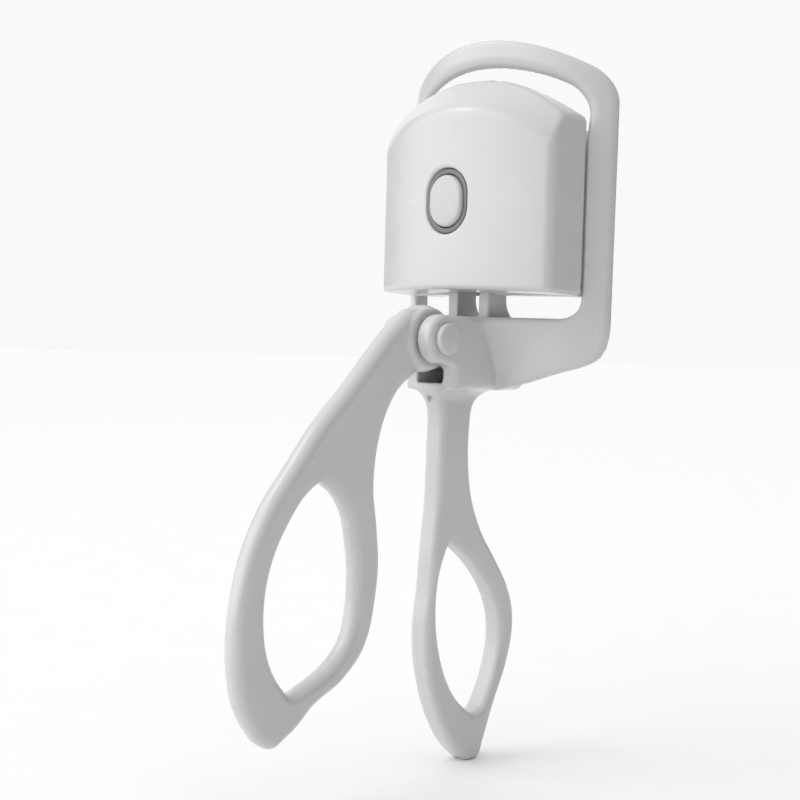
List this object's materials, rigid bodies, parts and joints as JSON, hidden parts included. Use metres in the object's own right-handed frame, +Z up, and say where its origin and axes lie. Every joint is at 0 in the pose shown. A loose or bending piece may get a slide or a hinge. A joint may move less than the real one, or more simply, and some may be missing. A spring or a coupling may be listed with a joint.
{
  "type": "heated eyelash curler",
  "caption": "Clamp eyelash curler with a battery head that slides up to a curved arch when two ringed handles are squeezed.",
  "frame": {"origin": "middle of the rear handle's finger loop, in the curler's plane of symmetry", "axes": "+X across the eye towards the right, +Y towards the face, +Z up through the curved arch"},
  "size_m": [0.0398, 0.0583, 0.1093],
  "materials": {
    "white_gloss": "smooth glossy white",
    "white_cap": "soft glossy white",
    "grey_ring": "translucent grey",
    "pin_steel": "turned",
    "screw_steel": "zinc plated",
    "socket_steel": "drawn",
    "heater_aluminium": "satin",
    "pad_silicone": "matt",
    "film_amber": "satin film",
    "board_green": "solder mask",
    "cell_wrap": "foil wrap",
    "black_plastic": "moulded",
    "led_clear": "clear yellow",
    "lead_black": "sleeve",
    "lead_red": "sleeve"
  },
  "bodies": {
    "frame": {"frame": "white_gloss", "pivot_pin": "white_gloss", "pin_retainer": "white_gloss"},
    "handle": {"front_handle": "white_gloss"},
    "button": {"button_cap": "white_cap"},
    "head": {"lift_fork": "white_gloss", "link_pin": "pin_steel", "front_shell": "white_gloss", "rear_shell": "white_gloss", "silicone_pad": "pad_silicone", "heater_plate": "heater_aluminium", "heating_film": "film_amber", "temperature_sensor": "black_plastic", "light_ring": "grey_ring", "circuit_board": "board_green", "tactile_switch": "black_plastic", "status_led": "led_clear", "battery": "cell_wrap", "usb_socket": "socket_steel", "usb_tongue": "black_plastic", "rear_screw_left": "screw_steel", "rear_screw_right": "screw_steel", "heater_lead_left": "lead_black", "heater_lead_right": "lead_black", "battery_lead_left": "lead_black", "battery_lead_right": "lead_red"}
  },
  "joints": [
    {"name": "handle_squeeze", "type": "hinge", "parent": "frame", "child": "handle", "pos_m": [0, -0.0108, 0.0435], "axis": [1, 0, 0], "range_deg": [0, 14.8]},
    {"name": "head_lift", "type": "slide", "parent": "frame", "child": "head", "axis": [0, 0, 1], "range_m": [0, 0.00321]},
    {"name": "button_press", "type": "slide", "parent": "head", "child": "button", "axis": [0, 1, 0], "range_m": [0, 0.0004], "stiffness_N_per_m": 800}
  ],
  "couplings": [
    {"joint": "head_lift", "follows": "handle_squeeze", "m_per_rad": 0.01239}
  ]
}
